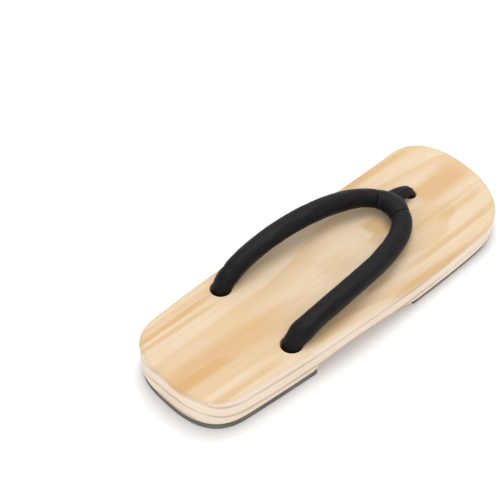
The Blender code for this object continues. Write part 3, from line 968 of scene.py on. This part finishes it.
def pineGroup():
    # Growth rings, broad streaks and fine fibres, all running along the foot; one streak is painted shade inside the
    # V, one is partly painted shadow beside the outer strap, and the paler sides are partly painted light.
    inputs = [("Spot", "NodeSocketVector"), ("Side", "NodeSocketFloat")]
    outputs = [("Color", "NodeSocketColor"), ("Height", "NodeSocketFloat"), ("Rough", "NodeSocketFloat")]
    group, given, result = newGroup("pineGrainAndPaintedLight", inputs, outputs)
    spot = given["Spot"]
    wander = noise(group, stretched(group, spot, (22.0, 5.0, 22.0)), 1.0, 2.0)
    waver = noise(group, stretched(group, spot, (120.0, 14.0, 120.0)), 1.0, 2.0)
    fibre = noise(group, stretched(group, spot, (2600.0, 60.0, 2600.0)), 1.0, 3.0)
    mottle = noise(group, stretched(group, spot, (70.0, 25.0, 70.0)), 1.0, 2.0)
    centre = stretched(group, spot, (1.0, 0.0, 1.0), [-value for value in wood["ringCentre"]])
    length = group.nodes.new("ShaderNodeVectorMath")
    length.operation = "LENGTH"
    group.links.new(centre, length.inputs[0])
    radius = calculate(group, "MULTIPLY_ADD", wander, 0.010, length.outputs["Value"])
    radius = calculate(group, "MULTIPLY_ADD", waver, 0.0022, radius)
    phase = calculate(group, "FRACT", calculate(group, "DIVIDE", radius, wood["ringSpacing"]))
    late = remap(group, phase, 0.35, 0.93, 0.0, 1.0)
    late = calculate(group, "MULTIPLY", late, remap(group, phase, 0.93, 1.0, 1.0, 0.0))
    # Sides paler than the top: partly the wood's own colour, partly painted light from the front and the floor.
    base = mixed(group, given["Side"], wood["pale"], wood["side"])
    topShare = calculate(group, "SUBTRACT", 1.0, given["Side"])
    color = mixed(group, calculate(group, "MULTIPLY", late, calculate(group, "MULTIPLY", topShare, 0.35)), base, wood["tan"])
    thin = remap(group, calculate(group, "ABSOLUTE", calculate(group, "SUBTRACT", phase, 0.76)), 0.0, 0.20, 0.72, 0.0)
    uneven = remap(group, mottle, 0.30, 0.65, 0.35, 1.0)
    thin = calculate(group, "MULTIPLY", calculate(group, "MULTIPLY", thin, given["Side"]), uneven)
    color = mixed(group, thin, color, wood["ringLine"])
    lines = noise(group, stretched(group, spot, (620.0, 9.0, 620.0)), 1.0, 2.0)
    offset = calculate(group, "MULTIPLY_ADD", calculate(group, "SUBTRACT", waver, 0.5), 0.006, 0.0)
    shift = group.nodes.new("ShaderNodeCombineXYZ")
    group.links.new(offset, shift.inputs["X"])
    moved = group.nodes.new("ShaderNodeVectorMath")
    moved.operation = "ADD"
    group.links.new(spot, moved.inputs[0])
    group.links.new(shift.outputs[0], moved.inputs[1])
    streak = streakGroup()
    total = 0.0
    for startX, startY, endX, endY, halfWidth, strength in grainAndShadeStreaks:
        row = {"Start X": startX, "Start Y": startY, "End X": endX, "End Y": endY, "Half Width": halfWidth}
        mask = useGroup(group, streak, Spot=moved.outputs[0], Strength=strength, **row)["Mask"]
        total = calculate(group, "MAXIMUM", total, mask)
    total = calculate(group, "MULTIPLY", total, topShare)
    # Darker streaks: grain, with painted shade inside the V and partly painted shadow beside the outer strap
    color = mixed(group, calculate(group, "MULTIPLY", total, 0.9), color, wood["tan"])
    color = mixed(group, remap(group, mottle, 0.35, 0.75, 0.0, 0.15), color, wood["tan"])
    fine = calculate(group, "MULTIPLY", remap(group, lines, 0.45, 0.75, 0.0, 0.20), topShare)
    color = mixed(group, fine, color, wood["tan"])
    color = mixed(group, remap(group, fibre, 0.3, 0.8, 0.0, 0.06), color, wood["ringLine"])
    group.links.new(color, result["Color"])
    group.links.new(fibre, result["Height"])
    group.links.new(remap(group, fibre, 0.2, 0.8, wood["roughness"] - 0.05, wood["roughness"] + 0.05), result["Rough"])
    return group


def makeWood():
    paint = newMaterial("pine", wood["pale"], wood["roughness"])
    tree = paint.node_tree
    shader = tree.nodes["Principled BSDF"]
    spot = tree.nodes.new("ShaderNodeTexCoord").outputs["Object"]
    side = tree.nodes.new("ShaderNodeAttribute")
    side.attribute_name = "side"
    # Grain colour, with painted shade and partly painted shadow in two streaks by the straps, and sides paler partly
    # by painted light
    grain = useGroup(tree, pineGroup(), Spot=spot, Side=side.outputs["Fac"])
    tree.links.new(grain["Color"], shader.inputs["Base Color"])
    tree.links.new(grain["Rough"], shader.inputs["Roughness"])
    tree.links.new(bumped(tree, grain["Height"], 0.25, 0.0001), shader.inputs["Normal"])
    return paint


board.data.materials.clear()
board.data.materials.append(makeWood())
print("wood painted")

# Rubber

rubber = {"color": (0.110, 0.100, 0.086), "worn": (0.150, 0.138, 0.122), "roughness": 0.80}


def makeRubber():
    paint = newMaterial("rubberSheet", rubber["color"], rubber["roughness"])
    tree = paint.node_tree
    shader = tree.nodes["Principled BSDF"]
    spot = tree.nodes.new("ShaderNodeTexCoord").outputs["Object"]
    grit = noise(tree, spot, 1800.0, 3.0)
    patches = remap(tree, noise(tree, spot, 90.0, 3.0), 0.35, 0.70, 0.0, 1.0)
    tree.links.new(mixed(tree, patches, rubber["color"], rubber["worn"]), shader.inputs["Base Color"])
    rough = calculate(tree, "MULTIPLY_ADD", patches, 0.10, rubber["roughness"])
    tree.links.new(rough, shader.inputs["Roughness"])
    tree.links.new(bumped(tree, grit, 0.3, 0.0002), shader.inputs["Normal"])
    return paint


rubberPaint = makeRubber()
for pad in (heelPad, forefootPad):
    pad.data.materials.clear()
    pad.data.materials.append(rubberPaint)
print("rubber painted")

# Black cloth

cloth = {
    "color": (0.0048, 0.0040, 0.0052),
    "faded": (0.0080, 0.0064, 0.0072),
    "roughness": 0.46,
    "gloss": 0.14,
    "sheen": 0.02,
    "sheenTint": (0.78, 0.84, 1.0),
    "thread": 0.00045,
    "weaveDepth": 0.00006,
}

# Columns: piece, name of its material, distance round it, distance along it
clothPieces = (
    (strap, "strapCloth", 0.036, 0.340),
    (toeThong, "thongCloth", 0.034, 0.026),
)


def weaveGroup():
    # Plain weave: every crossing of two threads rises where its neighbours sink.
    inputs = [("Wrap", "NodeSocketVector"), ("Around", "NodeSocketFloat"), ("Along", "NodeSocketFloat")]
    group, given, result = newGroup("plainWeave", inputs, [("Height", "NodeSocketFloat")])
    split = group.nodes.new("ShaderNodeSeparateXYZ")
    group.links.new(given["Wrap"], split.inputs[0])
    waves = []
    for axis, label in (("X", "Around"), ("Y", "Along")):
        turns = calculate(group, "DIVIDE", given[label], cloth["thread"] * 2.0)
        angle = calculate(group, "MULTIPLY", calculate(group, "MULTIPLY", split.outputs[axis], turns), 2.0 * math.pi)
        waves.append(calculate(group, "SINE", angle))
    product = calculate(group, "MULTIPLY", *waves)
    group.links.new(calculate(group, "MULTIPLY_ADD", product, 0.5, 0.5), result["Height"])
    return group


def makeCloth(name, weave, around, lengthwise):
    paint = newMaterial(name, cloth["color"], cloth["roughness"])
    tree = paint.node_tree
    shader = tree.nodes["Principled BSDF"]
    shader.inputs["Specular IOR Level"].default_value = cloth["gloss"]
    shader.inputs["Sheen Weight"].default_value = cloth["sheen"]
    shader.inputs["Sheen Roughness"].default_value = 0.45
    shader.inputs["Sheen Tint"].default_value = (*cloth["sheenTint"], 1.0)
    spot = tree.nodes.new("ShaderNodeTexCoord").outputs["Object"]
    wrap = tree.nodes.new("ShaderNodeUVMap")
    wrap.uv_map = "wrap"
    height = useGroup(tree, weave, Wrap=wrap.outputs["UV"], Around=around, Along=lengthwise)["Height"]
    fading = remap(tree, noise(tree, spot, 160.0, 3.0), 0.40, 0.72, 0.0, 0.8)
    tree.links.new(mixed(tree, fading, cloth["color"], cloth["faded"]), shader.inputs["Base Color"])
    rough = calculate(tree, "MULTIPLY_ADD", height, -0.10, cloth["roughness"] + 0.05)
    tree.links.new(rough, shader.inputs["Roughness"])
    fuzz = calculate(tree, "MULTIPLY_ADD", noise(tree, spot, 900.0, 2.0), 0.5, height)
    tree.links.new(bumped(tree, fuzz, 0.6, cloth["weaveDepth"]), shader.inputs["Normal"])
    return paint


weave = weaveGroup()
for piece, name, around, lengthwise in clothPieces:
    piece.data.materials.clear()
    piece.data.materials.append(makeCloth(name, weave, around, lengthwise))
print("cloth painted")
